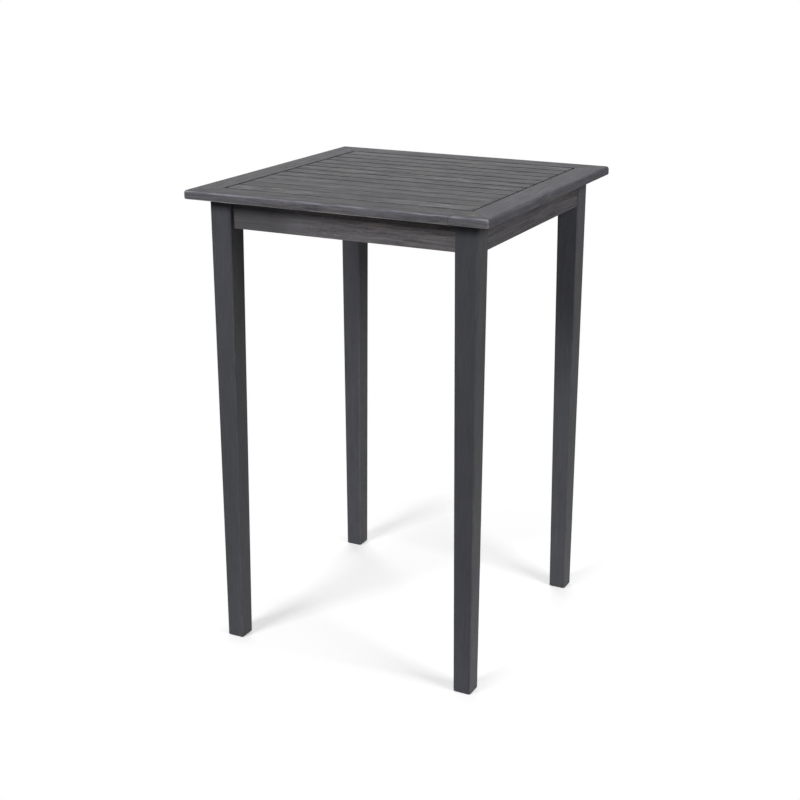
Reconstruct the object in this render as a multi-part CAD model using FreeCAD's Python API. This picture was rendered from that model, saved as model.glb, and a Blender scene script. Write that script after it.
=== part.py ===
import FreeCAD, Part
import math
import os

from FreeCAD import Placement, Rotation, Vector

# Whole table
overall_height = 1050.0
top_width = 700.0
top_depth = 700.0
top_thickness = 19.0

# Mitred frame around the top
rail_width = 62.5
plan_corner_radius = 8.0
upper_edge_radius = 6.5
lower_edge_radius = 3.5
inner_edge_radius = 1.5
mitre_dowel_diameter = 8.0
mitre_dowel_length = 30.0
mitre_dowel_shares = (0.35, 0.65)

# Slats inside the frame, running from left to right
slat_count = 12
slat_gap = 3.5
field_gap = 4.0
slat_edge_radius = 1.5

# Legs, square between the aprons and tapered on their two inner faces below
leg_width = 51.0
leg_foot_width = 41.0
leg_inset = 40.0
leg_edge_radius = 4.5
foot_chamfer = 2.0

# Aprons between the legs
apron_height = 63.5
apron_thickness = 20.0
front_apron_setback = 10.0
side_apron_setback = 4.0
apron_edge_radius = 2.0

# Ledgers on the side aprons and the batten that ties the slats at mid span
ledger_width = 25.0
ledger_height = 20.0
ledger_end_clearance = 1.0
batten_width = 30.0
batten_height = 20.0
housing_depth = 6.0
housing_clearance = 0.2
bearer_edge_radius = 1.0

# Corner blocks that draw the legs against the apron ends
block_thickness = 22.0
block_height = 40.0
block_top_clearance = 0.5
block_draw_gap = 2.0
leg_flat_depth = 5.0
leg_flat_margin = 1.5

# Wood screws
screw_shank_diameter = 4.0
screw_head_diameter = 8.0
screw_head_height = 2.4
screw_tip_length = 4.0
screw_clearance = 0.1
screw_end_distance = 10.0
drive_recess_length = 4.4
drive_recess_width = 1.1
drive_recess_depth = 1.5
slat_screw_length = 32.0
ledger_screw_length = 35.0
ledger_screw_shares = (-0.36, -0.12, 0.12, 0.36)
apron_screw_length = 35.0
apron_screw_grip = 22.0
apron_screw_inset = 7.0
apron_screw_shares = (-0.32, 0.0, 0.32)
block_screw_length = 22.0
block_screw_grip = 9.0
block_screw_spacing = 24.0
screw_counterbore_diameter = 9.0

# Hanger bolts with their washers and nuts, two at each leg
bolt_diameter = 8.0
bolt_leg_grip = 30.0
bolt_stickout = 3.0
bolt_spacing = 20.0
bolt_end_chamfer = 1.0
bolt_tip_length = 4.0
bolt_hole_clearance = 0.5
bolt_thread_clearance = 0.1
washer_diameter = 16.0
washer_thickness = 1.6
nut_across_flats = 13.0
nut_height = 6.5
nut_chamfer = 0.9
nut_side_count = 6

# Shared working values
cut_overrun = 2.0
match_tolerance = 0.001

# Derived places of the top
half_width = top_width / 2
half_depth = top_depth / 2
underside_z = overall_height - top_thickness
field_x = half_width - rail_width - field_gap
field_y = half_depth - rail_width - field_gap
slat_width = (2 * field_y - (slat_count - 1) * slat_gap) / slat_count
slat_pitch = slat_width + slat_gap

# Derived places of the front left corner, which the other corners mirror
leg_outer_x = leg_inset - half_width
leg_outer_y = leg_inset - half_depth
leg_inner_x = leg_outer_x + leg_width
leg_inner_y = leg_outer_y + leg_width
apron_bottom_z = underside_z - apron_height
front_apron_outer_y = leg_outer_y + front_apron_setback
front_apron_inner_y = front_apron_outer_y + apron_thickness
side_apron_outer_x = leg_outer_x + side_apron_setback
side_apron_inner_x = side_apron_outer_x + apron_thickness
ledger_bottom_z = underside_z - ledger_height
ledger_inner_x = side_apron_inner_x + ledger_width
ledger_start_y = leg_inner_y + ledger_end_clearance
batten_bottom_z = underside_z - batten_height
batten_end_y = front_apron_inner_y - housing_depth + housing_clearance

# Derived places of the corner blocks, by distance inwards from the leg's inner edge
block_near = block_draw_gap - leg_flat_depth
block_far = block_near + block_thickness
block_top_z = ledger_bottom_z - block_top_clearance
block_bottom_z = block_top_z - block_height
block_middle_z = block_bottom_z + block_height / 2

corner_sides = {
    "front_left": (-1, -1),
    "front_right": (1, -1),
    "back_left": (-1, 1),
    "back_right": (1, 1),
}


def to_corner(shape, side_x, side_y):
    """Mirrors a shape made at the front left to another corner."""
    origin = Vector(0, 0, 0)
    if side_x > 0:
        shape = shape.mirror(origin, Vector(1, 0, 0))
    if side_y > 0:
        shape = shape.mirror(origin, Vector(0, 1, 0))
    return shape


def at_every_corner(shape):
    """Returns the four mirrored copies of a shape made at the front left."""
    return [to_corner(shape, side_x, side_y) for side_x, side_y in corner_sides.values()]


def box_between(low_x, low_y, low_z, high_x, high_y, high_z):
    """Returns a box from its lowest and highest corners."""
    size_x = high_x - low_x
    size_y = high_y - low_y
    size_z = high_z - low_z
    return Part.makeBox(size_x, size_y, size_z, Vector(low_x, low_y, low_z))


def prism(outline, low_z, high_z):
    """Raises a closed outline of x and y pairs into a solid."""
    points = [Vector(x, y, low_z) for x, y in outline]
    face = Part.Face(Part.makePolygon(points + points[:1]))
    return face.extrude(Vector(0, 0, high_z - low_z))


def turned(profile):
    """Turns an outline of radius and height pairs about the z axis."""
    points = [Vector(radius, 0, z) for radius, z in profile]
    face = Part.Face(Part.makePolygon(points + points[:1]))
    return face.revolve(Vector(0, 0, 0), Vector(0, 0, 1), 360)


def placed(shape, seat, direction):
    """Moves a shape from the z axis to a seat point and a direction."""
    shape.Placement = Placement(seat, Rotation(Vector(0, 0, 1), direction))
    return shape


def cylinder_along(radius, seat, direction, length):
    """Returns a cylinder that starts at a seat point and runs along a direction."""
    return Part.makeCylinder(radius, length, seat, direction)


def edges_at(shape, axis, value):
    """Finds the edges that lie wholly at one coordinate of one axis."""
    found = []
    for edge in shape.Edges:
        places = [getattr(vertex.Point, axis) for vertex in edge.Vertexes]
        if all(abs(place - value) < match_tolerance for place in places):
            found.append(edge)
    return found


def pierced(shape, cutters):
    """Cuts every cutter that reaches a piece out of it."""
    for cutter in cutters:
        if shape.BoundBox.intersect(cutter.BoundBox):
            shape = shape.cut(cutter)
    return shape


def drive_recess():
    """Returns the cross that is pressed into a screw head."""
    half_length = drive_recess_length / 2
    half_slot = drive_recess_width / 2
    depth = drive_recess_depth
    first = box_between(-half_length, -half_slot, -cut_overrun, half_length, half_slot, depth)
    second = box_between(-half_slot, -half_length, -cut_overrun, half_slot, half_length, depth)
    return first.fuse(second)


def wood_screw(length, seat, direction):
    """Returns a countersunk screw with its head's flat face on the seat point."""
    profile = [
        (0, 0),
        (screw_head_diameter / 2, 0),
        (screw_shank_diameter / 2, screw_head_height),
        (screw_shank_diameter / 2, length - screw_tip_length),
        (0, length),
    ]
    screw = turned(profile).cut(drive_recess())
    return placed(screw, seat, direction)


def wood_screw_hole(length, seat, direction, access_diameter, access_depth):
    """Returns the hole of a screw, with the way in that its head needs."""
    head_radius = screw_head_diameter / 2 + screw_clearance
    shank_radius = screw_shank_diameter / 2 + screw_clearance
    profile = [
        (0, -access_depth),
        (access_diameter / 2, -access_depth),
        (access_diameter / 2, 0),
        (head_radius, 0),
        (shank_radius, screw_head_height),
        (shank_radius, length + screw_clearance),
        (0, length + screw_clearance),
    ]
    return placed(turned(profile), seat, direction)


# Top frame


def frame_ring():
    """Returns the frame of the top before it is cut at the mitres."""
    ring = box_between(-half_width, -half_depth, underside_z, half_width, half_depth, overall_height)
    corners = [
        edge
        for edge in ring.Edges
        if abs(edge.Vertexes[0].X - edge.Vertexes[1].X) < match_tolerance
        and abs(edge.Vertexes[0].Y - edge.Vertexes[1].Y) < match_tolerance
    ]
    ring = ring.makeFillet(plan_corner_radius, corners)
    ring = ring.makeFillet(upper_edge_radius, edges_at(ring, "z", overall_height))
    ring = ring.makeFillet(lower_edge_radius, edges_at(ring, "z", underside_z))
    inner_x = half_width - rail_width
    inner_y = half_depth - rail_width
    field = box_between(
        -inner_x, -inner_y, underside_z - cut_overrun, inner_x, inner_y, overall_height + cut_overrun
    )
    ring = ring.cut(field)
    eased = []
    for edge in edges_at(ring, "z", overall_height):
        middle = edge.BoundBox.Center
        if abs(middle.x) <= inner_x + match_tolerance and abs(middle.y) <= inner_y + match_tolerance:
            eased.append(edge)
    return ring.makeFillet(inner_edge_radius, eased)


def mitre_outline(side):
    """Returns the outline of one rail, with its ends on the lines of the mitres."""
    outer_x = half_width + cut_overrun
    outer_y = half_depth + cut_overrun
    inner_x = half_width - rail_width - cut_overrun
    inner_y = half_depth - rail_width - cut_overrun
    outlines = {
        "front": [(-outer_x, -outer_y), (outer_x, -outer_y), (inner_x, -inner_y), (-inner_x, -inner_y)],
        "back": [(-outer_x, outer_y), (outer_x, outer_y), (inner_x, inner_y), (-inner_x, inner_y)],
        "left": [(-outer_x, -outer_y), (-outer_x, outer_y), (-inner_x, inner_y), (-inner_x, -inner_y)],
        "right": [(outer_x, -outer_y), (outer_x, outer_y), (inner_x, inner_y), (inner_x, -inner_y)],
    }
    return outlines[side]


def mitre_dowel(share, clearance):
    """Returns a dowel across the front left mitre, or its hole when a clearance is given."""
    across = Vector(1, -1, 0).normalize()
    place = rail_width * share
    middle = Vector(place - half_width, place - half_depth, underside_z + top_thickness / 2)
    length = mitre_dowel_length + 2 * clearance
    start = middle - across * (length / 2)
    return cylinder_along(mitre_dowel_diameter / 2 + clearance, start, across, length)


def mitre_dowels(clearance):
    """Returns the dowels of all four mitres."""
    dowels = []
    for share in mitre_dowel_shares:
        dowels += at_every_corner(mitre_dowel(share, clearance))
    return dowels


def top_rails(screw_holes):
    """Returns the four rails by side."""
    ring = frame_ring()
    dowel_holes = mitre_dowels(screw_clearance)
    rails = {}
    for side in ("front", "back", "left", "right"):
        wedge = prism(mitre_outline(side), underside_z - cut_overrun, overall_height + cut_overrun)
        rails[side] = pierced(ring.common(wedge), dowel_holes + screw_holes)
    return rails


# Slats


def slat_middle_y(index):
    """Returns the middle line of a slat, counted from the front."""
    return slat_width / 2 - field_y + index * slat_pitch


def slat_screw_seats():
    """Returns where the slat screws enter the ledgers and the batten from below."""
    ledger_x = side_apron_inner_x + ledger_width / 2
    reach_y = -ledger_start_y - screw_end_distance
    seats = []
    for index in range(slat_count):
        middle_y = slat_middle_y(index)
        ledger_y = min(max(middle_y, -reach_y), reach_y)
        seats.append(Vector(ledger_x, ledger_y, ledger_bottom_z))
        seats.append(Vector(-ledger_x, ledger_y, ledger_bottom_z))
        seats.append(Vector(0, middle_y, batten_bottom_z))
    return seats


def top_slat(index, screw_holes):
    """Returns one slat with its eased upper edges."""
    low_y = slat_middle_y(index) - slat_width / 2
    slat = box_between(-field_x, low_y, underside_z, field_x, low_y + slat_width, overall_height)
    slat = slat.makeFillet(slat_edge_radius, edges_at(slat, "z", overall_height))
    return pierced(slat, screw_holes)


# Legs


def leg_section(width, z, inset):
    """Returns the rounded outline of a leg, whose outer faces stay upright."""
    low_x = leg_outer_x + inset
    low_y = leg_outer_y + inset
    high_x = leg_outer_x + width - inset
    high_y = leg_outer_y + width - inset
    radius = leg_edge_radius
    centres = [
        (low_x + radius, low_y + radius, 180),
        (high_x - radius, low_y + radius, 270),
        (high_x - radius, high_y - radius, 0),
        (low_x + radius, high_y - radius, 90),
    ]
    up = Vector(0, 0, 1)
    arcs = []
    for centre_x, centre_y, start in centres:
        centre = Vector(centre_x, centre_y, z)
        arcs.append(Part.makeCircle(radius, centre, up, start, start + 90))
    edges = []
    for index, arc in enumerate(arcs):
        following = arcs[(index + 1) % len(arcs)]
        arc_end = arc.valueAt(arc.LastParameter)
        next_start = following.valueAt(following.FirstParameter)
        edges.append(arc)
        edges.append(Part.makeLine(arc_end, next_start))
    return Part.Wire(edges)


def leg_width_at(z):
    """Returns the width of the tapered part of a leg at a height."""
    return leg_foot_width + (leg_width - leg_foot_width) * z / apron_bottom_z


def leg(bolt_holes):
    """Returns the front left leg."""
    sections = [
        leg_section(leg_foot_width, 0, foot_chamfer),
        leg_section(leg_width_at(foot_chamfer), foot_chamfer, 0),
        leg_section(leg_width, apron_bottom_z, 0),
        leg_section(leg_width, underside_z, 0),
    ]
    shape = Part.makeLoft(sections, True, True)
    reach = leg_flat_depth * math.sqrt(2) + cut_overrun
    flat = [
        (leg_inner_x + cut_overrun, leg_inner_y - reach),
        (leg_inner_x + cut_overrun, leg_inner_y + cut_overrun),
        (leg_inner_x - reach, leg_inner_y + cut_overrun),
    ]
    shape = shape.cut(prism(flat, block_bottom_z - leg_flat_margin, underside_z + cut_overrun))
    return pierced(shape, bolt_holes)


# Aprons, ledgers and batten


def front_apron(cutters):
    """Returns the front apron, housed for the end of the batten."""
    end_x = -leg_inner_x
    apron = box_between(
        -end_x, front_apron_outer_y, apron_bottom_z, end_x, front_apron_inner_y, underside_z
    )
    long_edges = [edge for edge in edges_at(apron, "z", apron_bottom_z) if edge.Length > apron_thickness]
    apron = apron.makeFillet(apron_edge_radius, long_edges)
    housing_x = batten_width / 2 + housing_clearance
    housing = box_between(
        -housing_x,
        front_apron_inner_y - housing_depth,
        batten_bottom_z,
        housing_x,
        front_apron_inner_y + cut_overrun,
        underside_z + cut_overrun,
    )
    return pierced(apron, [housing] + cutters)


def side_apron(cutters):
    """Returns the left apron."""
    end_y = -leg_inner_y
    apron = box_between(
        side_apron_outer_x, -end_y, apron_bottom_z, side_apron_inner_x, end_y, underside_z
    )
    long_edges = [edge for edge in edges_at(apron, "z", apron_bottom_z) if edge.Length > apron_thickness]
    apron = apron.makeFillet(apron_edge_radius, long_edges)
    return pierced(apron, cutters)


def ledger(cutters):
    """Returns the left ledger, which lies on the left apron and carries the slat ends."""
    end_y = -ledger_start_y
    strip = box_between(side_apron_inner_x, -end_y, ledger_bottom_z, ledger_inner_x, end_y, underside_z)
    lower = []
    for edge in edges_at(strip, "z", ledger_bottom_z):
        if edge.Length > ledger_width and edge.BoundBox.XMin > side_apron_inner_x:
            lower.append(edge)
    strip = strip.makeFillet(bearer_edge_radius, lower)
    return pierced(strip, cutters)


def batten(cutters):
    """Returns the batten under the middle of the slats."""
    half = batten_width / 2
    strip = box_between(-half, batten_end_y, batten_bottom_z, half, -batten_end_y, underside_z)
    lower = [edge for edge in edges_at(strip, "z", batten_bottom_z) if edge.Length > batten_width]
    strip = strip.makeFillet(bearer_edge_radius, lower)
    return pierced(strip, cutters)


def nearest_gap_y(place):
    """Returns the middle of the gap between slats that is nearest to a place."""
    first_gap = slat_middle_y(0) + slat_pitch / 2
    return first_gap + round((place - first_gap) / slat_pitch) * slat_pitch


def ledger_screw_seats():
    """Returns where the screws of the left ledger enter it."""
    length = -2 * ledger_start_y
    middle_z = ledger_bottom_z + ledger_height / 2
    places = [nearest_gap_y(share * length) for share in ledger_screw_shares]
    return [Vector(ledger_inner_x, place, middle_z) for place in places]


def apron_screw_seats():
    """Returns where the heads of the screws sit that hold the aprons to the rails."""
    seat_z = underside_z - apron_screw_grip
    seats = []
    for share in apron_screw_shares:
        along_x = -2 * leg_inner_x * share
        along_y = -2 * leg_inner_y * share
        front_y = front_apron_outer_y + apron_screw_inset
        side_x = side_apron_outer_x + apron_screw_inset
        seats.append(Vector(along_x, front_y, seat_z))
        seats.append(Vector(along_x, -front_y, seat_z))
        seats.append(Vector(side_x, along_y, seat_z))
        seats.append(Vector(-side_x, along_y, seat_z))
    return seats


# Corner blocks and their hardware


def side_face_y(distance):
    """Returns where a line square to the diagonal meets the left apron's inner face."""
    return leg_inner_y + distance * math.sqrt(2) - (side_apron_inner_x - leg_inner_x)


def front_face_x(distance):
    """Returns where a line square to the diagonal meets the front apron's inner face."""
    return leg_inner_x + distance * math.sqrt(2) - (front_apron_inner_y - leg_inner_y)


def block_screws():
    """Returns the seats and directions of the screws of the front left block."""
    side_y = (side_face_y(block_near) + side_face_y(block_far)) / 2
    front_x = (front_face_x(block_near) + front_face_x(block_far)) / 2
    places = []
    for step in (-0.5, 0.5):
        z = block_middle_z + step * block_screw_spacing
        side_seat = Vector(side_apron_inner_x + block_screw_grip, side_y, z)
        front_seat = Vector(front_x, front_apron_inner_y + block_screw_grip, z)
        places.append((side_seat, Vector(-1, 0, 0)))
        places.append((front_seat, Vector(0, -1, 0)))
    return places


def diagonal_point(distance, z):
    """Returns a point on the diagonal, by its distance inwards from the leg's inner edge."""
    step = distance / math.sqrt(2)
    return Vector(leg_inner_x + step, leg_inner_y + step, z)


def bolt_heights():
    """Returns the heights of the two bolts of a leg."""
    return [block_middle_z + step * bolt_spacing for step in (-0.5, 0.5)]


def corner_block(cutters):
    """Returns the front left block, whose ends lie on the two aprons."""
    outline = [
        (side_apron_inner_x, side_face_y(block_near)),
        (front_face_x(block_near), front_apron_inner_y),
        (front_face_x(block_far), front_apron_inner_y),
        (side_apron_inner_x, side_face_y(block_far)),
    ]
    return pierced(prism(outline, block_bottom_z, block_top_z), cutters)


def leg_bolt(z):
    """Returns a hanger bolt from inside the leg to past its nut."""
    radius = bolt_diameter / 2
    start = -leg_flat_depth - bolt_leg_grip
    length = block_far + washer_thickness + nut_height + bolt_stickout - start
    profile = [
        (0, 0),
        (radius, bolt_tip_length),
        (radius, length - bolt_end_chamfer),
        (radius - bolt_end_chamfer, length),
        (0, length),
    ]
    return placed(turned(profile), diagonal_point(start, z), Vector(1, 1, 0))


def leg_bolt_hole(z, clearance):
    """Returns the hole of a hanger bolt, longer than the bolt at both ends."""
    start = -leg_flat_depth - bolt_leg_grip - bolt_thread_clearance
    length = block_far + cut_overrun - start
    radius = bolt_diameter / 2 + clearance
    return cylinder_along(radius, diagonal_point(start, z), Vector(1, 1, 0), length)


def leg_washer(z):
    """Returns the washer that lies on the block."""
    seat = diagonal_point(block_far, z)
    inwards = Vector(1, 1, 0)
    bore_radius = bolt_diameter / 2 + bolt_hole_clearance
    disc = cylinder_along(washer_diameter / 2, seat, inwards, washer_thickness)
    bore = cylinder_along(bore_radius, seat, inwards, washer_thickness)
    return disc.cut(bore)


def leg_nut(z):
    """Returns the hexagon nut that lies on the washer."""
    corner_radius = nut_across_flats / 2 / math.cos(math.pi / nut_side_count)
    outline = []
    for index in range(nut_side_count):
        angle = 2 * math.pi * index / nut_side_count
        outline.append((corner_radius * math.cos(angle), corner_radius * math.sin(angle)))
    rounding = [
        (0, 0),
        (corner_radius - nut_chamfer, 0),
        (corner_radius, nut_chamfer / 2),
        (corner_radius, nut_height - nut_chamfer / 2),
        (corner_radius - nut_chamfer, nut_height),
        (0, nut_height),
    ]
    nut = prism(outline, 0, nut_height).common(turned(rounding))
    bore = Part.makeCylinder(bolt_diameter / 2 + bolt_thread_clearance, nut_height)
    return placed(nut.cut(bore), diagonal_point(block_far + washer_thickness, z), Vector(1, 1, 0))


# Assembly


def build():
    """Returns every node of the table by name."""
    up = Vector(0, 0, 1)
    outwards = Vector(-1, 0, 0)
    head_way = screw_head_diameter + 2 * screw_clearance
    nodes = {}

    slat_seats = slat_screw_seats()
    slat_screws = [wood_screw(slat_screw_length, seat, up) for seat in slat_seats]
    slat_holes = [
        wood_screw_hole(slat_screw_length, seat, up, head_way, cut_overrun)
        for seat in slat_seats
    ]

    apron_seats = apron_screw_seats()
    apron_screws = [wood_screw(apron_screw_length, seat, up) for seat in apron_seats]
    apron_holes = [
        wood_screw_hole(apron_screw_length, seat, up, screw_counterbore_diameter, apron_height)
        for seat in apron_seats
    ]

    ledger_seats = ledger_screw_seats()
    left_ledger_screws = [wood_screw(ledger_screw_length, seat, outwards) for seat in ledger_seats]
    ledger_holes = [
        wood_screw_hole(ledger_screw_length, seat, outwards, head_way, cut_overrun)
        for seat in ledger_seats
    ]

    block_screw_solids = []
    block_screw_holes = []
    for seat, direction in block_screws():
        block_screw_solids.append(wood_screw(block_screw_length, seat, direction))
        block_screw_holes.append(
            wood_screw_hole(
                block_screw_length, seat, direction, screw_counterbore_diameter, block_thickness
            )
        )
    all_block_holes = []
    for hole in block_screw_holes:
        all_block_holes += at_every_corner(hole)

    for side, rail in top_rails(apron_holes).items():
        nodes["top_rail_" + side] = rail
    for index in range(slat_count):
        nodes["top_slat_%02d" % (index + 1)] = top_slat(index, slat_holes)
    nodes["mitre_dowels"] = Part.makeCompound(mitre_dowels(0))

    leg_holes = [leg_bolt_hole(z, bolt_thread_clearance) for z in bolt_heights()]
    block_bolt_holes = [leg_bolt_hole(z, bolt_hole_clearance) for z in bolt_heights()]
    left_front_leg = leg(leg_holes)
    left_front_block = corner_block(block_screw_holes + block_bolt_holes)
    for corner, (side_x, side_y) in corner_sides.items():
        nodes["leg_" + corner] = to_corner(left_front_leg, side_x, side_y)
        nodes["corner_block_" + corner] = to_corner(left_front_block, side_x, side_y)

    front = front_apron(apron_holes + all_block_holes)
    left = side_apron(apron_holes + ledger_holes + all_block_holes)
    nodes["apron_front"] = front
    nodes["apron_back"] = to_corner(front, -1, 1)
    nodes["apron_left"] = left
    nodes["apron_right"] = to_corner(left, 1, -1)

    left_ledger = ledger(slat_holes + ledger_holes)
    nodes["slat_ledger_left"] = left_ledger
    nodes["slat_ledger_right"] = to_corner(left_ledger, 1, -1)
    nodes["slat_batten"] = batten(slat_holes)

    nodes["slat_screws"] = Part.makeCompound(slat_screws)
    nodes["apron_screws"] = Part.makeCompound(apron_screws)
    ledger_screws = left_ledger_screws + [to_corner(screw, 1, -1) for screw in left_ledger_screws]
    nodes["ledger_screws"] = Part.makeCompound(ledger_screws)
    groups = {
        "corner_block_screws": block_screw_solids,
        "leg_bolts": [leg_bolt(z) for z in bolt_heights()],
        "leg_washers": [leg_washer(z) for z in bolt_heights()],
        "leg_nuts": [leg_nut(z) for z in bolt_heights()],
    }
    for name, solids in groups.items():
        copies = []
        for solid in solids:
            copies += at_every_corner(solid)
        nodes[name] = Part.makeCompound(copies)
    return nodes


os.makedirs("parts", exist_ok=True)
for node_name, node_shape in build().items():
    node_shape.exportStep("parts/" + node_name + ".step")
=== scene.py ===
import math

import bpy
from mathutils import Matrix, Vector


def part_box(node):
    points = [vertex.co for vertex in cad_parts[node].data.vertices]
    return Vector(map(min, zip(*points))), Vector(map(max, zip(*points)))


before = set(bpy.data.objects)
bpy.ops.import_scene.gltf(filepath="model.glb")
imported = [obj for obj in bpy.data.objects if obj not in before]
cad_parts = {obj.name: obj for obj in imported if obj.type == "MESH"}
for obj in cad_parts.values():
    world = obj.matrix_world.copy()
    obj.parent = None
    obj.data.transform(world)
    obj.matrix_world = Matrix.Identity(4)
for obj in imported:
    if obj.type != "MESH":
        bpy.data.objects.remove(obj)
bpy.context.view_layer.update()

# Camera, in metres and degrees
camera_place = Vector((1.382, -2.775, 1.5765))
camera_turn = 26.73
camera_pitch = 18.6
camera_lens_mm = 63.5
sensor_width_mm = 36.0

# Lights all stand at one distance from the point they are aimed at, in metres
light_distance = 3.0
light_aim = Vector((0.0, 0.0, 0.6))
# Each light has its direction and height in degrees, its power in watts and its width in metres
lights = {
    "front_softbox": (-112.0, 33.0, 37.0, 0.8),
    "right_softbox": (-12.0, 33.0, 39.5, 1.1),
    "back_softbox": (119.0, 22.0, 46.0, 2.4),
}
sky_strength = 0.09
white = (1.0, 1.0, 1.0, 1.0)

# From here on, lengths are metres. A pair of limits is where a level is 0 and where it is 1, and
# two numbers after it are other levels to have there

# Floor
floor_radius = 14.0
floor_corners = 96
floor_shown_grey = 0.95
floor_lift = 0.37
# The floor throws less light back where it lies farther from the table
bounce_by_distance = (0.4, 1.4, 1.0, 0.05)
# The shaded patch is as wide as the table and reaches farther behind it, where its shadow falls
patch_middle = (0.0, 0.19, 0.0)
patch_fades = (0.28, 0.36)

# Wood tones as screen values from 0 to 255
stain_dark = (60, 60, 65)
stain_light = (119, 119, 122)
stain_rubbed = (149, 143, 137)
stain_rubbed_through = (162, 151, 136)
# Worn edges are lighter, and on their upward roundings this tone is also a painted highlight
worn_and_highlight_colour = (148, 146, 154)
stain_worn_below = (214, 206, 204)
stain_fleck = (158, 140, 134)
stain_line = (44, 43, 45)
# Painted shade for the faces that look into the gaps of the top
painted_gap_shade_colour = (20, 20, 22)
end_grain = (92, 89, 89)

# How far the grain wanders along and across, and how many bends it has per metre
wander_reach = (0.0, 0.020, 0.026)
wander_stretch = (2.2, 5.0, 5.0)
# Growth rings, the noise that spaces them unevenly, and the part of a ring that is late wood
rings_per_metre = 230.0
ring_noise_scale = 150.0
ring_drift = 1.6
late_wood_begins = (0.25, 0.85)
late_wood_ends = (1.0, 0.93)
# Each pattern either follows the wandering grain or not. Then come its features per metre along
# and across the grain, its detail and its roughness
wood_patterns = {
    "bands": (True, 9.0, 110.0, 2.0, 0.6),
    "streaks": (True, 24.0, 430.0, 3.0, 0.62),
    "rubbed": (True, 17.0, 160.0, 3.0, 0.6),
    "fibres": (False, 26.0, 1700.0, 2.0, 0.6),
    "pores": (False, 70.0, 1900.0, 1.0, 0.5),
    "blotches": (False, 12.0, 34.0, 2.0, 0.5),
    "patches": (False, 5.0, 14.0, 1.0, 0.5),
    "flecks": (False, 170.0, 620.0, 2.0, 0.6),
}
# How much each pattern lightens the stain or raises the surface
stain_weights = {"bands": 1.2, "streaks": 1.5, "blotches": 1.0, "late_wood": -0.22}
stain_middle = 0.62
relief_weights = {"streaks": 0.55, "fibres": 0.30, "pores": -0.35, "late_wood": 0.25, "seam": -1.0}
# Where in its pattern each mark shows, and how two patterns break up the worn edges and their
# painted highlight
pores_show = (0.62, 0.70)
rubbed_streaks_show = (0.48, 0.64)
rubbed_patches_show = (0.36, 0.58)
dark_lines_show = (0.40, 0.27)
flecks_show = (0.54, 0.66)
spot_shows = (0.49, 0.59)
wear_highlight_by_rubbed = (0.40, 0.60, 0.40, 1.05)
wear_highlight_by_streaks = (0.36, 0.60, 0.65, 1.2)
pore_darkness = 0.7
line_darkness = 0.75
roughness_by_fibres = (0.3, 0.7, 0.72, 0.88)
line_roughness = 0.12
wood_specular = 0.15

# How squarely a face looks one way where its end grain, worn edge with its painted highlight, worn
# underside or painted gap shade begins and where it is full
end_shows = (0.75, 0.95)
edge_shows = (0.985, 0.80)
below_shows = (-0.1, -0.5)
slat_gap_shade_shows = (0.44, 0.84)
rail_gap_shade_shows = (0.40, 0.85)

# The line of a mitre, by the distance from it
mitre_line = (0.0014, 0.0004)
mitre_darkness = 0.4
# The front rail's finger joint, and where the wood beyond it was cut from
finger_place = 0.26
finger_length = 0.012
finger_pitch = 0.009
finger_line = (0.0008, 0.0002)
finger_darkness = 0.5
finger_other_cut = (3.1, 0.021, 0.013)
# A spot near the front right corner where the stain is rubbed through
rubbed_spot = (0.305, -0.317, 1.05)
rubbed_spot_reach = 0.022

# The front apron by the place along it: its grain grows livelier from its left end on, its dark
# left end turns light, and it darkens again towards the right
apron_livens = (-0.18, 0.02, 0.3, 1.0)
apron_lightens = (-0.17, -0.09, 0.76, 1.18)
apron_darkens = (0.06, 0.18, 1.0, 0.86)

# Each board is cut a step farther along the log than the one before it. Golden steps spread the
# boards' distances and directions from the heart evenly
cut_step = 1.37
heart_nearest = 0.045
heart_spread = 0.035
golden_part = 0.618034
golden_angle = 2.399963
# The aprons' grain is stretched along them and made finer across
apron_stretch_along = 0.6
apron_stretch_across = 1.7

# Each way that grain may run, with the turn that lays it along X
grain_turns = {
    "x": ((0.0, 0.0, 0.0), (1.0, 0.0, 0.0)),
    "y": ((0.0, 0.0, -math.pi / 2), (0.0, 1.0, 0.0)),
    "z": ((0.0, math.pi / 2, 0.0), (0.0, 0.0, 1.0)),
    "diagonal": ((0.0, 0.0, math.pi / 4), (math.sqrt(0.5), -math.sqrt(0.5), 0.0)),
    "counter_diagonal": ((0.0, 0.0, -math.pi / 4), (math.sqrt(0.5), math.sqrt(0.5), 0.0)),
}
outward = {"front": (0.0, -1.0), "back": (0.0, 1.0), "left": (-1.0, 0.0), "right": (1.0, 0.0)}

neutral = (0.99, 1.0, 1.015)
violet = (0.995, 0.985, 1.02)
warm = (1.02, 1.0, 1.01)
cool = (0.965, 0.99, 1.05)
# The looks of each kind of board, with its relief in metres
look_names = ("tone", "tint", "contrast", "rub", "wear_highlight", "fleck", "relief")
board_kinds = {
    "rail": (0.90, violet, 0.8, 0.25, 0.25, 0.06, 0.0002),
    "slat": (0.90, neutral, 0.9, 0.7, 0.0, 0.06, 0.0004),
    "apron": (0.88, warm, 0.85, 0.55, 0.2, 0.40, 0.0003),
    "leg": (0.79, cool, 0.20, 0.05, 0.20, 0.03, 0.0002),
    "bearer": (0.8, neutral, 0.8, 0.3, 0.4, 0.10, 0.0005),
}
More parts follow.
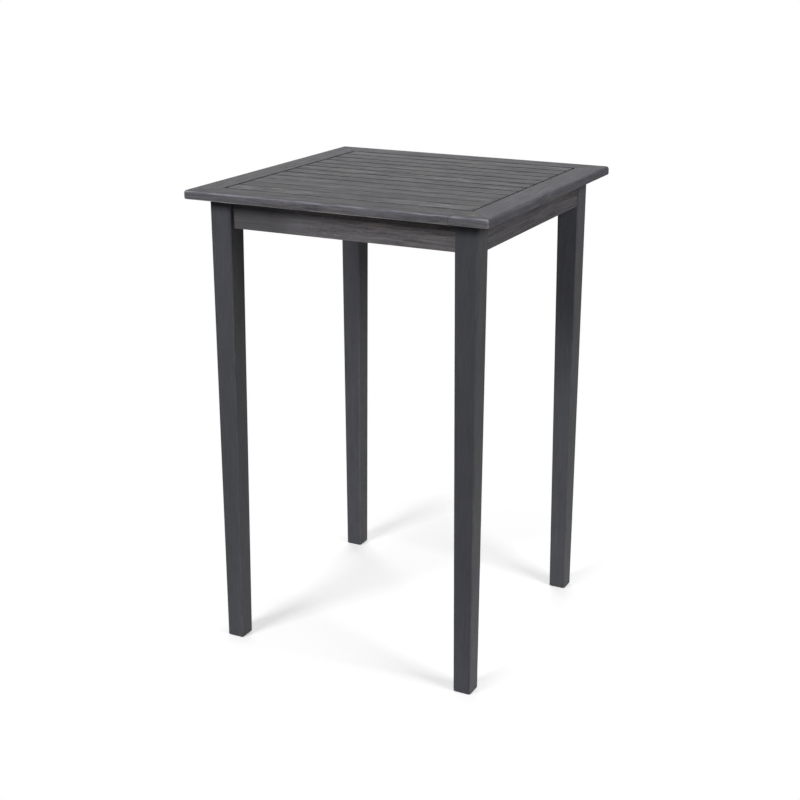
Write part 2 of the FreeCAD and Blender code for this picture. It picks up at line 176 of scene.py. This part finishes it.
# What sets single boards apart from their kind. The lightness multiplies the kind's tone, and the
# gap shade depth is how dark the shade is that is painted on the faces that look into a gap
own_looks = {
    # The front rail's sides are painted lighter and the right rail's sides darker, as painted light
    # and shade, and their tops are set back by their painted face light below
    "top_rail_front": {"lightness": 1.22, "wear_highlight": 0.9, "fleck": 0.12, "gap_depth": 0.4},
    "top_rail_back": {"lightness": 0.93},
    "top_rail_left": {"lightness": 0.97, "contrast": 0.7},
    "top_rail_right": {"lightness": 0.80, "contrast": 0.4, "gap_depth": 0.0},
    "apron_front": {"lightness": 1.38},
    # The left apron is painted lighter, as painted light on the side the lamps reach least
    "apron_left": {"lightness": 1.35},
    "apron_right": {"lightness": 0.80},
    "leg_front_right": {"lightness": 0.90},
}
# Each slat from the front has its lightness, how lively its grain is, and the depth of its painted
# gap shade
slat_looks = (
    (1.04, 1.25, 0.4),
    (0.82, 0.60, 0.0),
    (1.01, 0.65, 0.0),
    (1.00, 0.80, 0.1),
    (0.96, 0.90, 0.4),
    (0.99, 0.95, 1.0),
    (1.08, 1.40, 1.0),
    (0.94, 0.85, 1.0),
    (1.01, 1.05, 1.0),
    (0.92, 1.05, 1.0),
    (0.97, 0.85, 1.0),
    (1.03, 1.10, 1.0),
)
# Faces that look along one axis, such as the top of a rail or the sides of a leg, get painted light
# or shade in the board's tint, and those near the floor get painted light from the floor as well
face_tints = {
    "top_rail_front": ("Z", (0.70, 0.71, 0.69), None),
    "top_rail_right": ("Z", (1.27, 1.27, 1.27), None),
    "leg": ("X", (1.04, 1.01, 0.95), None),
    "leg_front_right": ("X", (0.92, 0.90, 0.84), (1.48, 1.44, 1.35)),
    "leg_back_right": ("X", (0.98, 0.95, 0.89), (1.26, 1.23, 1.15)),
}
# How squarely a face looks along the axis where that change begins and where it is full, and
# the heights where the change near the floor does
face_tint_shows = {"X": (0.55, 0.85), "Z": (0.80, 0.99)}
floor_light_shows = (0.90, 0.10)

# Zinc plated steel
steel_names = (
    "slat_screws",
    "apron_screws",
    "ledger_screws",
    "corner_block_screws",
    "leg_bolts",
    "leg_washers",
    "leg_nuts",
)
zinc_dark = (168, 168, 162)
zinc_light = (206, 207, 205)
zinc_stretch = (900.0, 900.0, 900.0)
zinc_roughness = (0.3, 0.7, 0.28, 0.46)
zinc_relief = 0.00005
# Bare hardwood of the dowels
hardwood_dark = (170, 134, 94)
hardwood_light = (196, 160, 118)
hardwood_stretch = (300.0, 300.0, 900.0)
hardwood_roughness = 0.7


def screen_colour(values):
    """Turns screen values into the linear colour of a shader socket."""
    linear = []
    for value in values:
        part = value / 255
        linear.append(part / 12.92 if part <= 0.04045 else ((part + 0.055) / 1.055) ** 2.4)
    return (*linear, 1.0)


def changed_tint(tint, change):
    """Returns a tint whose three parts are multiplied by those of a change."""
    return (*(part * factor for part, factor in zip(tint, change)), 1.0)


def add_node(tree, kind, inputs=None, **settings):
    """Adds a node, sets its options, and fills or links its inputs."""
    node = tree.nodes.new(kind)
    for name, value in settings.items():
        setattr(node, name, value)
    for name, value in (inputs or {}).items():
        if isinstance(value, bpy.types.NodeSocket):
            tree.links.new(value, node.inputs[name])
        else:
            node.inputs[name].default_value = value
    return node


def math_node(tree, operation, first, second=None, clamp=False):
    """Returns the result of one arithmetic step."""
    inputs = {0: first}
    if second is not None:
        inputs[1] = second
    node = add_node(tree, "ShaderNodeMath", inputs, operation=operation, use_clamp=clamp)
    return node.outputs[0]


def weighted_sum(tree, values, weights):
    """Returns the sum of named values, each times its weight."""
    total = None
    for name, weight in weights.items():
        share = math_node(tree, "MULTIPLY", values[name], weight)
        total = share if total is None else math_node(tree, "ADD", total, share)
    return total


def vector_node(tree, operation, first, second=None):
    """Returns the result of one step of vector arithmetic."""
    inputs = {0: first}
    if second is not None:
        inputs["Scale" if operation == "SCALE" else 1] = second
    node = add_node(tree, "ShaderNodeVectorMath", inputs, operation=operation)
    return node.outputs["Value" if operation in ("LENGTH", "DOT_PRODUCT") else "Vector"]


def separate(tree, vector):
    """Returns the three parts of a vector by their names."""
    return add_node(tree, "ShaderNodeSeparateXYZ", {0: vector}).outputs


def noise(tree, vector, stretch, detail=2.0, roughness=0.5, colour=False):
    """Returns noise whose stretch gives its features per metre along each axis."""
    scaled = vector_node(tree, "MULTIPLY", vector, stretch)
    inputs = {"Vector": scaled, "Scale": 1.0, "Detail": detail, "Roughness": roughness}
    return add_node(tree, "ShaderNodeTexNoise", inputs).outputs["Color" if colour else "Fac"]


def ease(tree, value, low, high, low_to=0.0, high_to=1.0):
    """Maps a value smoothly between two limits."""
    node = add_node(
        tree,
        "ShaderNodeMapRange",
        {"Value": value, "From Min": low, "From Max": high, "To Min": low_to, "To Max": high_to},
        interpolation_type="SMOOTHSTEP",
    )
    return node.outputs["Result"]


def mix_colour(tree, factor, first, second, blend="MIX"):
    """Returns a mix of two colours."""
    node = add_node(tree, "ShaderNodeMix", data_type="RGBA", blend_type=blend, clamp_factor=True)
    for name, value in (("Factor_Float", factor), ("A_Color", first), ("B_Color", second)):
        socket = next(s for s in node.inputs if s.identifier == name)
        if isinstance(value, bpy.types.NodeSocket):
            tree.links.new(value, socket)
        else:
            socket.default_value = value
    return next(s for s in node.outputs if s.identifier == "Result_Color")


def mix_shaders(tree, factor, first, second):
    """Returns a mix of two shaders."""
    return add_node(tree, "ShaderNodeMixShader", {0: factor, 1: first, 2: second}).outputs[0]


def seen_rays(tree):
    """Returns 1 for the rays that show a thing to the camera, and 0 for the light it gives."""
    path = add_node(tree, "ShaderNodeLightPath")
    seen = math_node(tree, "MAXIMUM", path.outputs["Is Camera Ray"], path.outputs["Is Glossy Ray"])
    return math_node(tree, "MAXIMUM", seen, path.outputs["Is Transmission Ray"])


def new_material(name):
    """Returns a new material with its node tree and its shader."""
    material = bpy.data.materials.new(name)
    material.use_nodes = True
    return material, material.node_tree, material.node_tree.nodes["Principled BSDF"]


def new_group(name, inputs, outputs):
    """Returns a new node group with its input and output nodes."""
    group = bpy.data.node_groups.new(name, "ShaderNodeTree")
    for title, kind in inputs.items():
        group.interface.new_socket(title, in_out="INPUT", socket_type=kind)
    for title, kind in outputs.items():
        group.interface.new_socket(title, in_out="OUTPUT", socket_type=kind)
    return group, group.nodes.new("NodeGroupInput"), group.nodes.new("NodeGroupOutput")


def late_wood(group, bent):
    """Returns where the dense late wood of the growth rings lies."""
    across = vector_node(group, "MULTIPLY", bent, (0.0, 1.0, 1.0))
    radius = vector_node(group, "LENGTH", across)
    inputs = {"W": radius, "Scale": ring_noise_scale, "Detail": 1.0}
    growth = add_node(group, "ShaderNodeTexNoise", inputs, noise_dimensions="1D")
    drift = math_node(group, "MULTIPLY", growth.outputs["Fac"], ring_drift)
    phase = math_node(group, "MULTIPLY", radius, rings_per_metre)
    ring = math_node(group, "FRACT", math_node(group, "ADD", phase, drift))
    begun = ease(group, ring, *late_wood_begins)
    return math_node(group, "MULTIPLY", begun, ease(group, ring, *late_wood_ends))


def wood_group():
    """Builds the stained wood that every board shares.

    Grain runs along X, the heart of the log lies on the X axis, and lengths are metres.
    """
    amounts = ("End", "Edge", "Below", "Gap_shade", "Seam", "Contrast", "Rub", "Wear_highlight", "Spot", "Fleck")
    inputs = {title: "NodeSocketFloat" for title in amounts}
    inputs["Grain"] = "NodeSocketVector"
    inputs["Tint"] = "NodeSocketColor"
    outputs = {
        "Color": "NodeSocketColor",
        "Roughness": "NodeSocketFloat",
        "Height": "NodeSocketFloat",
    }
    group, given, result = new_group("stained_wood", inputs, outputs)
    grain = given.outputs["Grain"]
    contrast = given.outputs["Contrast"]

    def stain(colour, amount, tone):
        """Lays a tone over a colour where the amount says so."""
        return mix_colour(group, amount, colour, screen_colour(tone))

    wander = noise(group, grain, wander_stretch, colour=True)
    wander = vector_node(group, "SUBTRACT", wander, (0.5, 0.5, 0.5))
    wander = vector_node(group, "MULTIPLY", wander, wander_reach)
    bent = vector_node(group, "ADD", grain, wander)
    late = late_wood(group, bent)
    pattern = {}
    for name, (follows, along, across, detail, roughness) in wood_patterns.items():
        stretch = (along, across, across)
        pattern[name] = noise(group, bent if follows else grain, stretch, detail, roughness)

    light = {"late_wood": late}
    for name in ("bands", "streaks", "blotches"):
        light[name] = math_node(group, "SUBTRACT", pattern[name], 0.5)
    level = weighted_sum(group, light, stain_weights)
    level = math_node(group, "MULTIPLY", level, contrast)
    level = math_node(group, "ADD", level, stain_middle, clamp=True)
    colour = stain(screen_colour(stain_dark), level, stain_light)

    bare = math_node(
        group,
        "MULTIPLY",
        ease(group, pattern["rubbed"], *rubbed_streaks_show),
        ease(group, pattern["patches"], *rubbed_patches_show),
    )
    bare = math_node(group, "MULTIPLY", bare, given.outputs["Rub"], clamp=True)
    colour = stain(colour, bare, stain_rubbed)

    pores = ease(group, pattern["pores"], *pores_show)
    lines = ease(group, pattern["streaks"], *dark_lines_show)
    lines = math_node(group, "MAXIMUM", lines, math_node(group, "MULTIPLY", pores, pore_darkness))
    dark_lines = math_node(group, "MULTIPLY", lines, line_darkness)
    dark_lines = math_node(group, "MULTIPLY", dark_lines, contrast, clamp=True)
    colour = stain(colour, dark_lines, stain_line)

    by_rubbed = ease(group, pattern["rubbed"], *wear_highlight_by_rubbed)
    by_streaks = ease(group, pattern["streaks"], *wear_highlight_by_streaks)
    # Worn edges: partly real wear, and partly a painted highlight on the upward roundings
    wear_and_highlight = math_node(group, "MULTIPLY", given.outputs["Edge"], given.outputs["Wear_highlight"])
    wear_and_highlight = math_node(group, "MULTIPLY", wear_and_highlight, by_rubbed)
    wear_and_highlight = math_node(group, "MULTIPLY", wear_and_highlight, by_streaks, clamp=True)
    wear_highlight_tone = stain(screen_colour(worn_and_highlight_colour), given.outputs["Below"], stain_worn_below)
    colour = mix_colour(group, wear_and_highlight, colour, wear_highlight_tone)

    flecks = ease(group, pattern["flecks"], *flecks_show)
    flecks = math_node(group, "MULTIPLY", flecks, given.outputs["Fleck"], clamp=True)
    colour = stain(colour, flecks, stain_fleck)
    spot = ease(group, pattern["streaks"], *spot_shows)
    spot = math_node(group, "MULTIPLY", given.outputs["Spot"], spot, clamp=True)
    colour = stain(colour, spot, stain_rubbed_through)
    colour = stain(colour, given.outputs["End"], end_grain)
    # The tint holds the board's tone and the painted light and shade on some of its faces
    colour = mix_colour(group, 1.0, colour, given.outputs["Tint"], blend="MULTIPLY")
    colour = stain(colour, given.outputs["Seam"], stain_line)
    # Painted shade on the faces that look into the gaps
    colour = stain(colour, given.outputs["Gap_shade"], painted_gap_shade_colour)
    group.links.new(colour, result.inputs["Color"])

    rough = ease(group, pattern["fibres"], *roughness_by_fibres)
    rougher = math_node(group, "MULTIPLY", lines, line_roughness)
    rough = math_node(group, "ADD", rough, rougher, clamp=True)
    group.links.new(rough, result.inputs["Roughness"])

    raised = {
        "streaks": pattern["streaks"],
        "fibres": pattern["fibres"],
        "pores": pores,
        "late_wood": late,
        "seam": given.outputs["Seam"],
    }
    group.links.new(weighted_sum(group, raised, relief_weights), result.inputs["Height"])
    return group


def mitre_lines(tree, place):
    """Returns the dark lines where a rail meets its neighbours."""
    where = separate(tree, vector_node(tree, "ABSOLUTE", place))
    off = math_node(tree, "ABSOLUTE", math_node(tree, "SUBTRACT", where["X"], where["Y"]))
    return math_node(tree, "MULTIPLY", ease(tree, off, *mitre_line), mitre_darkness)


def finger_joint(tree, place):
    """Returns which side of the front rail's finger joint a point is on, and the joint's line."""
    where = separate(tree, place)
    tooth = math_node(tree, "PINGPONG", where["Y"], finger_pitch / 2)
    reach = math_node(tree, "MULTIPLY", tooth, 2 * finger_length / finger_pitch)
    past = math_node(tree, "SUBTRACT", where["X"], finger_place)
    past = math_node(tree, "SUBTRACT", past, reach)
    line = ease(tree, math_node(tree, "ABSOLUTE", past), *finger_line)
    line = math_node(tree, "MULTIPLY", line, finger_darkness)
    return math_node(tree, "GREATER_THAN", past, 0.0), line


def painted_gap_shade(tree, board, normal, squarely):
    """Returns the shade painted on the faces that look into the gaps of the top."""
    if board["gap"] == "long_sides":
        return ease(tree, squarely["Y"], *slat_gap_shade_shows, 0.0, board["gap_depth"])
    inward = vector_node(tree, "DOT_PRODUCT", normal, board["gap"])
    return ease(tree, inward, *rail_gap_shade_shows, 0.0, board["gap_depth"])


def board_tint(tree, board, place, squarely):
    """Returns a board's tint, which may change along it, and which carries painted light or shade
    on some faces and near the floor.
    """
    tint = (*(board["tone"] * part for part in board["tint"]), 1.0)
    if board["varied"]:
        where = separate(tree, place)
        lit = ease(tree, where["X"], *apron_lightens)
        lit = math_node(tree, "MULTIPLY", lit, ease(tree, where["X"], *apron_darkens))
        return vector_node(tree, "SCALE", tint[:3], lit)
    if not board["face_tint"]:
        return tint
    axis_name, change, floor_light_change = board["face_tint"]
    face_tint = changed_tint(tint, change)
    if floor_light_change:
        floor_lit_tint = changed_tint(tint, floor_light_change)
        low = ease(tree, separate(tree, place)["Z"], *floor_light_shows)
        face_tint = mix_colour(tree, low, face_tint, floor_lit_tint)
    level = ease(tree, squarely[axis_name], *face_tint_shows[axis_name])
    return mix_colour(tree, level, tint, face_tint)


def wood_material(name, group, board):
    """Returns one board's material: its own cut of the log, with the stain that all share."""
    material, tree, shader = new_material(name)
    coordinates = add_node(tree, "ShaderNodeTexCoord")
    place = coordinates.outputs["Object"]
    normal = coordinates.outputs["Normal"]
    turn, axis = grain_turns[board["along"]]
    centred = vector_node(tree, "SUBTRACT", place, board["middle"])
    cut = {"Vector": centred, "Rotation": turn, "Location": board["cut"], "Scale": board["stretch"]}
    grain = add_node(tree, "ShaderNodeMapping", cut).outputs["Vector"]
    lengthwise = math_node(tree, "ABSOLUTE", vector_node(tree, "DOT_PRODUCT", normal, axis))
    upward = vector_node(tree, "DOT_PRODUCT", normal, (0.0, 0.0, 1.0))
    squarely = separate(tree, vector_node(tree, "ABSOLUTE", normal))
    flat = math_node(tree, "MAXIMUM", squarely["X"], squarely["Y"])
    flat = math_node(tree, "MAXIMUM", flat, squarely["Z"])
    inputs = {
        "End": ease(tree, lengthwise, *end_shows),
        "Edge": ease(tree, flat, *edge_shows),
        "Below": ease(tree, upward, *below_shows),
        "Tint": board_tint(tree, board, place, squarely),
    }
    for title in ("Contrast", "Rub", "Wear_highlight", "Fleck"):
        inputs[title] = board[title.lower()]
    if board["gap"]:
        inputs["Gap_shade"] = painted_gap_shade(tree, board, normal, squarely)
    if board["mitred"]:
        inputs["Seam"] = mitre_lines(tree, place)
        to_spot = vector_node(tree, "LENGTH", vector_node(tree, "SUBTRACT", place, rubbed_spot))
        inputs["Spot"] = ease(tree, to_spot, rubbed_spot_reach, 0.0)
    if board["fingered"]:
        beyond, line = finger_joint(tree, place)
        inputs["Seam"] = math_node(tree, "MAXIMUM", inputs["Seam"], line)
        other_cut = vector_node(tree, "SCALE", finger_other_cut, beyond)
        grain = vector_node(tree, "ADD", grain, other_cut)
    if board["varied"]:
        lively = ease(tree, separate(tree, place)["X"], *apron_livens)
        for title in ("Contrast", "Rub", "Fleck"):
            inputs[title] = math_node(tree, "MULTIPLY", lively, inputs[title])
    inputs["Grain"] = grain
    wood = add_node(tree, "ShaderNodeGroup", inputs, node_tree=group)
    height = {"Height": wood.outputs["Height"], "Distance": board["relief"], "Strength": 1.0}
    relief = add_node(tree, "ShaderNodeBump", height)
    tree.links.new(wood.outputs["Color"], shader.inputs["Base Color"])
    tree.links.new(wood.outputs["Roughness"], shader.inputs["Roughness"])
    tree.links.new(relief.outputs["Normal"], shader.inputs["Normal"])
    shader.inputs["Specular IOR Level"].default_value = wood_specular
    return material


def cut_from_log(seed):
    """Returns the place in a log of the board that a whole number names."""
    turn = seed * golden_angle
    distance = heart_nearest + heart_spread * ((seed * golden_part) % 1.0)
    return (seed * cut_step, distance * math.cos(turn), distance * math.sin(turn))


def describe_board(seed, node, kind, along, gap):
    """Describes a board: its cut, the way its grain runs, and its looks."""
    low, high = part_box(node)
    stretch = (1.0, 1.0, 1.0)
    if kind == "apron":
        stretch = [apron_stretch_along if axis == along else apron_stretch_across for axis in "xyz"]
    board = dict(zip(look_names, board_kinds[kind]))
    board.update(
        cut=cut_from_log(seed),
        along=along,
        middle=tuple((low + high) / 2),
        stretch=stretch,
        gap=gap,
        gap_depth=1.0,
        face_tint=face_tints.get(node, face_tints.get(kind)),
        lightness=1.0,
        mitred=kind == "rail",
        fingered=node == "top_rail_front",
        varied=node == "apron_front",
    )
    board.update(own_looks.get(node, {}))
    board["tone"] *= board["lightness"]
    return board


def dress(node, material):
    """Gives a node one material."""
    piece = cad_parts[node]
    piece.data.materials.clear()
    piece.data.materials.append(material)


def dress_boards():
    """Gives every board its own cut of the shared stained wood."""
    group = wood_group()
    boards = []
    for side, (x, y) in outward.items():
        along = "x" if x == 0.0 else "y"
        boards.append(("top_rail_" + side, "rail", along, (-x, -y, 0.0)))
        boards.append(("apron_" + side, "apron", along, None))
    slat_kind = dict(zip(look_names, board_kinds["slat"]))
    for number, (lightness, liveliness, gap_depth) in enumerate(slat_looks, start=1):
        node = "top_slat_%02d" % number
        boards.append((node, "slat", "x", "long_sides"))
        own_looks[node] = {
            "lightness": lightness,
            "contrast": liveliness * slat_kind["contrast"],
            "rub": liveliness * slat_kind["rub"],
            "gap_depth": gap_depth,
        }
    for corner in ("front_left", "front_right", "back_left", "back_right"):
        boards.append(("leg_" + corner, "leg", "z", None))
        along = "diagonal" if corner in ("front_left", "back_right") else "counter_diagonal"
        boards.append(("corner_block_" + corner, "bearer", along, None))
    for node in ("slat_ledger_left", "slat_ledger_right", "slat_batten"):
        boards.append((node, "bearer", "y", None))
    for seed, (node, *cutting) in enumerate(boards, start=1):
        dress(node, wood_material(node, group, describe_board(seed, node, *cutting)))


def steel_material():
    """Returns zinc plated steel with a faint mottled sheen."""
    material, tree, shader = new_material("zinc_plated_steel")
    place = add_node(tree, "ShaderNodeTexCoord").outputs["Object"]
    mottle = noise(tree, place, zinc_stretch, detail=3.0)
    colour = mix_colour(tree, mottle, screen_colour(zinc_dark), screen_colour(zinc_light))
    relief = add_node(tree, "ShaderNodeBump", {"Height": mottle, "Distance": zinc_relief})
    tree.links.new(colour, shader.inputs["Base Color"])
    tree.links.new(ease(tree, mottle, *zinc_roughness), shader.inputs["Roughness"])
    tree.links.new(relief.outputs["Normal"], shader.inputs["Normal"])
    shader.inputs["Metallic"].default_value = 1.0
    return material


def dowel_material():
    """Returns pale unstained hardwood with fine lengthwise fibres."""
    material, tree, shader = new_material("bare_hardwood")
    place = add_node(tree, "ShaderNodeTexCoord").outputs["Object"]
    fibres = noise(tree, place, hardwood_stretch, detail=3.0)
    colour = mix_colour(tree, fibres, screen_colour(hardwood_dark), screen_colour(hardwood_light))
    tree.links.new(colour, shader.inputs["Base Color"])
    shader.inputs["Roughness"].default_value = hardwood_roughness
    return material


def dress_hardware():
    """Gives the fasteners and dowels their materials."""
    steel = steel_material()
    for node in steel_names:
        dress(node, steel)
    dress("mitre_dowels", dowel_material())


def make_floor():
    """Makes the pale floor, which turns to plain white away from the table and from below."""
    bpy.ops.mesh.primitive_circle_add(
        vertices=floor_corners, radius=floor_radius, fill_type="NGON"
    )
    floor = bpy.context.object
    floor.name = "floor"
    material, tree, shader = new_material("pale_floor")
    tree.nodes.remove(shader)
    place = add_node(tree, "ShaderNodeTexCoord").outputs["Object"]
    seen = seen_rays(tree)
    bounce = ease(tree, vector_node(tree, "LENGTH", place), *bounce_by_distance)
    grey = add_node(tree, "ShaderNodeMix", {0: seen, 2: bounce, 3: floor_shown_grey}).outputs[0]
    matt = add_node(tree, "ShaderNodeBsdfDiffuse", {"Color": grey})
    lift = math_node(tree, "MULTIPLY", seen, floor_lift)
    glow = add_node(tree, "ShaderNodeEmission", {"Color": white, "Strength": lift})
    lifted = add_node(tree, "ShaderNodeAddShader", {0: matt.outputs[0], 1: glow.outputs[0]})
    # The middle is taken off twice, so the patch grows longer behind the table only
    offset = vector_node(tree, "SUBTRACT", place, patch_middle)
    offset = vector_node(tree, "SUBTRACT", vector_node(tree, "ABSOLUTE", offset), patch_middle)
    offset = separate(tree, offset)
    away = ease(tree, math_node(tree, "MAXIMUM", offset["X"], offset["Y"]), *patch_fades)
    plain = add_node(tree, "ShaderNodeEmission", {"Color": white, "Strength": 1.0})
    faded = math_node(tree, "MULTIPLY", away, seen)
    above = mix_shaders(tree, faded, lifted.outputs[0], plain.outputs[0])
    beneath = add_node(tree, "ShaderNodeNewGeometry").outputs["Backfacing"]
    clear = add_node(tree, "ShaderNodeBsdfTransparent")
    shown = mix_shaders(tree, beneath, above, clear.outputs[0])
    tree.links.new(shown, tree.nodes["Material Output"].inputs["Surface"])
    floor.data.materials.append(material)


def make_world():
    """Lights the scene evenly and shows plain white behind it."""
    world = bpy.data.worlds.new("white_studio")
    bpy.context.scene.world = world
    world.use_nodes = True
    tree = world.node_tree
    glow = tree.nodes["Background"]
    glow.inputs["Color"].default_value = white
    glow.inputs["Strength"].default_value = sky_strength
    plain = add_node(tree, "ShaderNodeBackground", {"Color": white, "Strength": 1.0})
    shown = mix_shaders(tree, seen_rays(tree), glow.outputs[0], plain.outputs[0])
    tree.links.new(shown, tree.nodes["World Output"].inputs["Surface"])


def make_light(name, direction, height, watts, size):
    """Makes a square soft light that points at the table."""
    data = bpy.data.lights.new(name, "AREA")
    data.energy = watts
    data.size = size
    turn = math.radians(direction)
    lift = math.radians(height)
    level = math.cos(lift)
    away = Vector((math.cos(turn) * level, math.sin(turn) * level, math.sin(lift)))
    light = bpy.data.objects.new(name, data)
    light.location = light_aim + light_distance * away
    light.rotation_euler = away.to_track_quat("Z", "Y").to_euler()
    bpy.context.scene.collection.objects.link(light)


def make_camera():
    """Makes the camera at the photograph's viewing angle."""
    data = bpy.data.cameras.new("camera")
    data.sensor_width = sensor_width_mm
    data.lens = camera_lens_mm
    camera = bpy.data.objects.new("camera", data)
    camera.location = camera_place
    camera.rotation_euler = (math.radians(90.0 - camera_pitch), 0.0, math.radians(camera_turn))
    bpy.context.scene.collection.objects.link(camera)
    bpy.context.scene.camera = camera


dress_boards()
dress_hardware()
make_floor()
make_world()
for light_name, settings in lights.items():
    make_light(light_name, *settings)
make_camera()
bpy.context.scene.view_settings.view_transform = "Standard"
